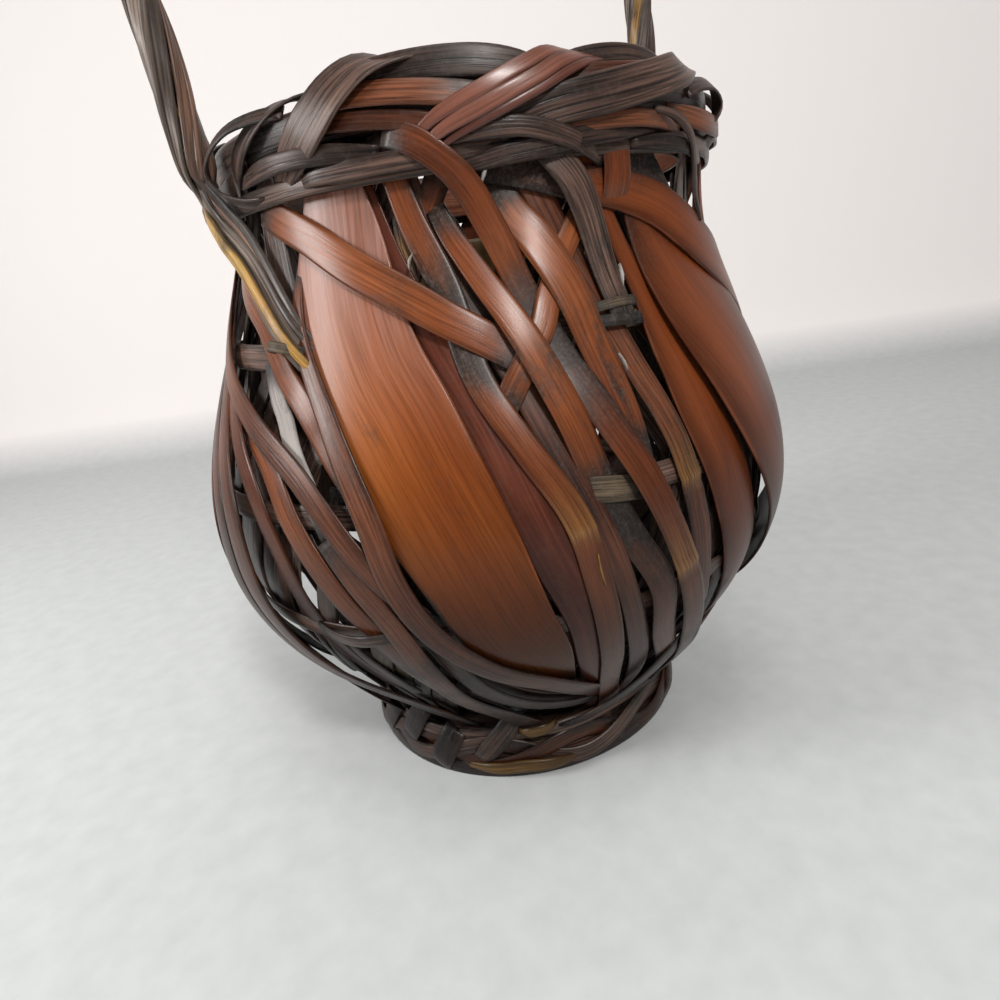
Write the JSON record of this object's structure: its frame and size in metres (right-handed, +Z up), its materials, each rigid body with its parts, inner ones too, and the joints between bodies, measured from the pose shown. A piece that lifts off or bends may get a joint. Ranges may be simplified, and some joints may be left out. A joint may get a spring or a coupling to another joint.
{
  "type": "flower basket",
  "caption": "Round-bellied woven bamboo flower basket with a laced rim, a banded foot, a tall arch handle and a lift-out water tube.",
  "frame": {"origin": "on the floor, on the basket's axis", "axes": "+Z up along the axis, X along the handle's arch; the pictured front is turned 30 degrees from -Y towards -X"},
  "size_m": [0.2161, 0.2206, 0.4349],
  "materials": {
    "red_brown": "satin stained bamboo",
    "stained": "satin dark-stained bamboo",
    "smoked": "satin smoked bamboo, nearly black",
    "dusty": "matt dusty bamboo",
    "golden": "satin bare bamboo skin, partly stained",
    "culm": "matt bamboo tube"
  },
  "bodies": {
    "basket": {"slat_broad_front": "red_brown", "slat_red_front": "stained", "slat_shoulder_front": "stained", "slat_broad_right": "red_brown", "slat_tapered_right": "stained", "strip_front_1": "red_brown", "strip_front_2": "stained", "strip_front_3": "red_brown", "strip_front_4": "red_brown", "strip_front_5": "red_brown", "strip_front_6": "smoked", "strip_front_7": "stained", "strip_cross_front": "red_brown", "strip_border_front": "stained", "strip_left_1": "red_brown", "strip_left_2": "stained", "strip_left_3": "red_brown", "strip_left_4": "smoked", "slat_left": "red_brown", "slat_back_1": "red_brown", "strip_back_1": "stained", "slat_back_2": "stained", "strip_back_2": "stained", "slat_back_3": "red_brown", "strip_back_3": "stained", "slat_back_4": "stained", "strip_back_4": "stained", "slat_back_5": "red_brown", "strip_back_5": "stained", "slat_back_6": "stained", "strip_back_6": "stained", "inner_band_1": "dusty", "inner_band_2": "smoked", "inner_band_3": "smoked", "inner_band_4": "dusty", "inner_band_5": "smoked", "inner_band_6": "smoked", "inner_band_7": "dusty", "inner_band_8": "smoked", "hoop_lower": "smoked", "hoop_middle": "smoked", "hoop_upper": "smoked", "rim_core": "smoked", "rim_inner_hoop": "stained", "rim_outer_hoop": "stained", "rim_lacing_under": "stained", "rim_lacing_over": "smoked", "foot_ring": "smoked", "foot_band_lower": "red_brown", "foot_band_upper": "stained", "base_slat_1": "dusty", "base_slat_2": "dusty", "base_slat_3": "dusty", "base_slat_4": "dusty", "handle_strand_1": "smoked", "handle_strand_2": "golden", "handle_strand_3": "stained"},
    "liner": {"water_liner": "culm"}
  },
  "joints": [
    {"name": "liner_lift", "type": "slide", "parent": "basket", "child": "liner", "axis": [0, 0, 1], "range_m": [0, 0.21]}
  ]
}
